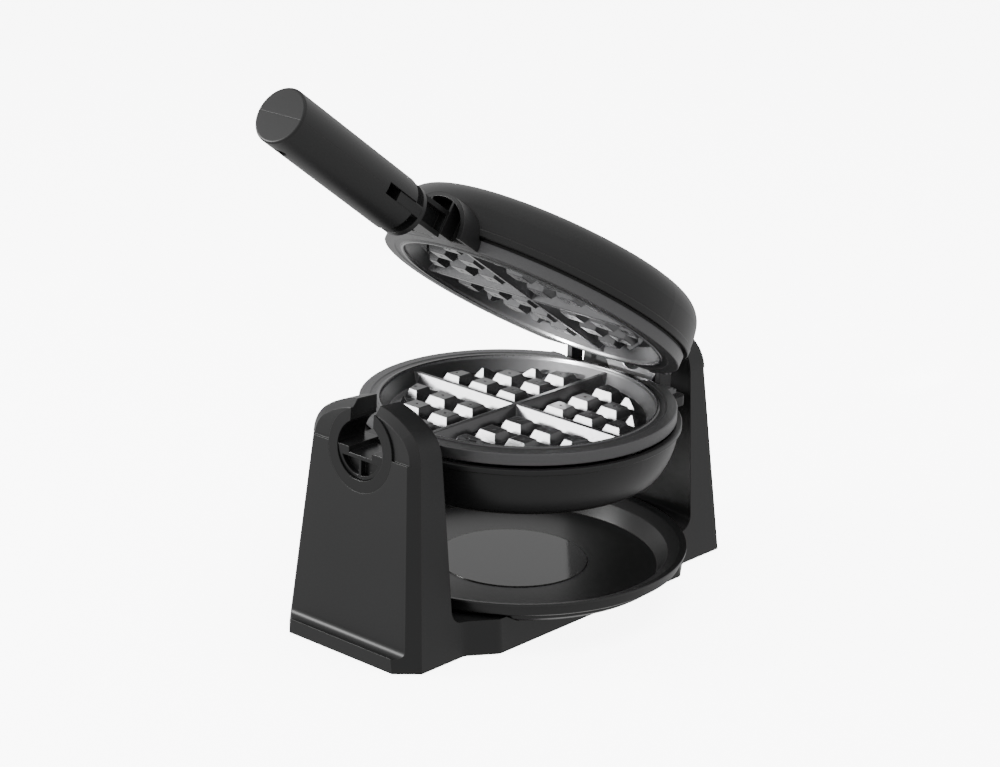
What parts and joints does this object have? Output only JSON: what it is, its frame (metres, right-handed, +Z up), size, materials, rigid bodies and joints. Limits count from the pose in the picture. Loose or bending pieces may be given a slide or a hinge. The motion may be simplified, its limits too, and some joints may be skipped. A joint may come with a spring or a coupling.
{
  "type": "rotating waffle maker",
  "caption": "Round waffle maker whose hinged pair of plates turns between two towers over a drip tray.",
  "frame": {"origin": "Under the middle of the base, level with the feet; the mount base_rest is the shell's bottom rim, 1 mm up.", "axes": "+Y along the turning axis from the handle end to the hinge end, +X across it, +Z up."},
  "size_m": [0.2324, 0.3978, 0.3749],
  "materials": {
    "base_black": "satin",
    "housing_black": "satin",
    "bearing_black": "satin",
    "handle_black": "satin",
    "tray_black": "satin",
    "nonstick": "semi gloss",
    "foot_rubber": "matt",
    "heater_steel": "dull",
    "sheet_steel": "satin",
    "screw_steel": "satin",
    "control_body": "matt"
  },
  "bodies": {
    "base": {"base_shell": "base_black", "base_bottom_plate": "base_black", "base_screws": "screw_steel", "rubber_feet": "foot_rubber", "front_bearing_ring": "bearing_black", "rear_bearing_bush": "bearing_black", "rear_tower_cover": "base_black", "rear_cover_screws": "screw_steel", "cord_inlet_bush": "foot_rubber"},
    "tray": {"drip_tray": "tray_black"},
    "rotor": {"lower_housing": "housing_black", "lower_plate": "nonstick", "lower_heater": "heater_steel", "lower_heat_shield": "sheet_steel", "lower_plate_screws": "screw_steel", "thermostat": "control_body", "thermal_fuse": "sheet_steel", "front_journal": "housing_black", "rear_trunnion": "sheet_steel", "trunnion_retaining_ring": "sheet_steel", "trunnion_screws": "screw_steel", "hinge_bracket": "sheet_steel", "hinge_bracket_screws": "screw_steel", "hinge_pin": "sheet_steel"},
    "lid": {"lid_housing": "housing_black", "upper_plate": "nonstick", "upper_heater": "heater_steel", "upper_heat_shield": "sheet_steel", "upper_plate_screws": "screw_steel", "lid_hinge_bracket": "sheet_steel", "lid_bracket_screws": "screw_steel", "lid_housing_screws": "screw_steel", "lid_collar": "housing_black", "handle_bar": "handle_black"},
    "grip": {"handle_upper_shell": "handle_black", "handle_lower_shell": "handle_black", "handle_screws": "screw_steel"}
  },
  "joints": [
    {"name": "rotor_flip", "type": "hinge", "parent": "base", "child": "rotor", "pos_m": [0, 0, 0.1342], "axis": [0, 1, 0], "range_deg": [0, 75]},
    {"name": "lid_hinge", "type": "hinge", "parent": "rotor", "child": "lid", "pos_m": [0, 0.1041, 0.15], "axis": [-1, 0, 0], "range_deg": [-34.64, 30]},
    {"name": "handle_slide", "type": "slide", "parent": "lid", "child": "grip", "axis": [0, 0.8117, -0.5841], "range_m": [0, 0.007]},
    {"name": "drip_tray_slide", "type": "slide", "parent": "base", "child": "tray", "axis": [-1, 0, 0], "range_m": [0, 0.25]}
  ]
}
